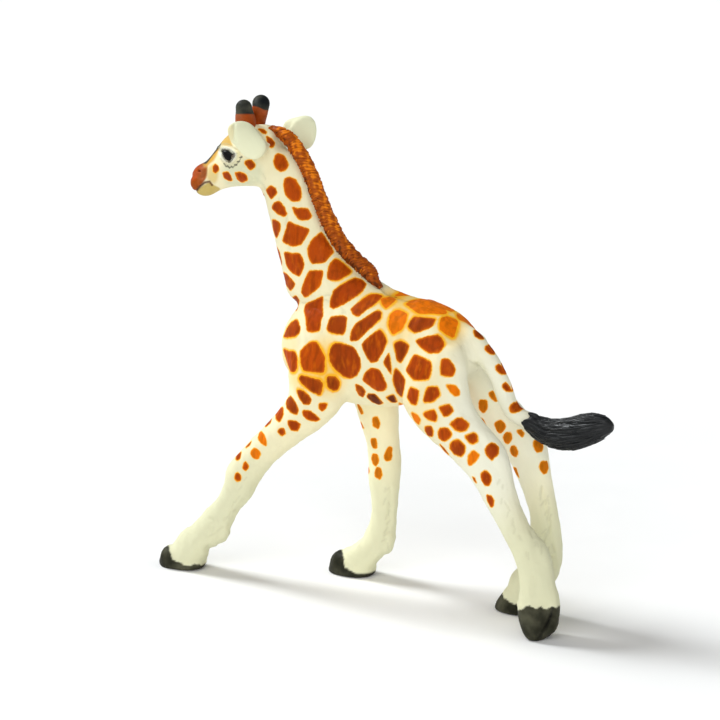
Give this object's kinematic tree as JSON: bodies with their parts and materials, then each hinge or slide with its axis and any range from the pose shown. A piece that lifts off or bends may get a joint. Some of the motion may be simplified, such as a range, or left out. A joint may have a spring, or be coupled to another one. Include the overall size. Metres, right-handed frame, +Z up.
{
  "type": "toy giraffe calf figure",
  "caption": "Small hand-painted soft-plastic giraffe calf in a wide running stance, with patched cream coat, ridged brown mane, cloven hooves and a dark tail tuft.",
  "frame": {"origin": "centre of the figure's bounding box, on the surface that its hooves stand on", "axes": "the calf faces -Y, +X is to its left, +Z is up"},
  "size_m": [0.0226, 0.0952, 0.0926],
  "materials": {
    "patched_coat": "hand-painted cream with rust patches",
    "cream_ear": "hand-painted cream",
    "mane_brown": "brown with dry-brushed orange ridges",
    "ossicone_rust": "satin rust",
    "charcoal_black": "satin charcoal",
    "eye_black": "gloss black",
    "hoof_grey": "satin olive grey"
  },
  "bodies": {
    "root": {"trunk": "patched_coat", "neck": "patched_coat", "head": "patched_coat", "foreleg_left": "patched_coat", "foreleg_right": "patched_coat", "hind_leg_left": "patched_coat", "hind_leg_right": "patched_coat", "tail": "patched_coat", "ear_left": "cream_ear", "ear_right": "cream_ear", "mane": "mane_brown", "ossicone_left": "ossicone_rust", "ossicone_right": "ossicone_rust", "ossicone_tip_left": "charcoal_black", "ossicone_tip_right": "charcoal_black", "tail_tuft": "charcoal_black", "eye_left": "eye_black", "eye_right": "eye_black", "hoof_fore_left": "hoof_grey", "hoof_fore_right": "hoof_grey", "hoof_hind_left": "hoof_grey", "hoof_hind_right": "hoof_grey"}
  },
  "joints": []
}
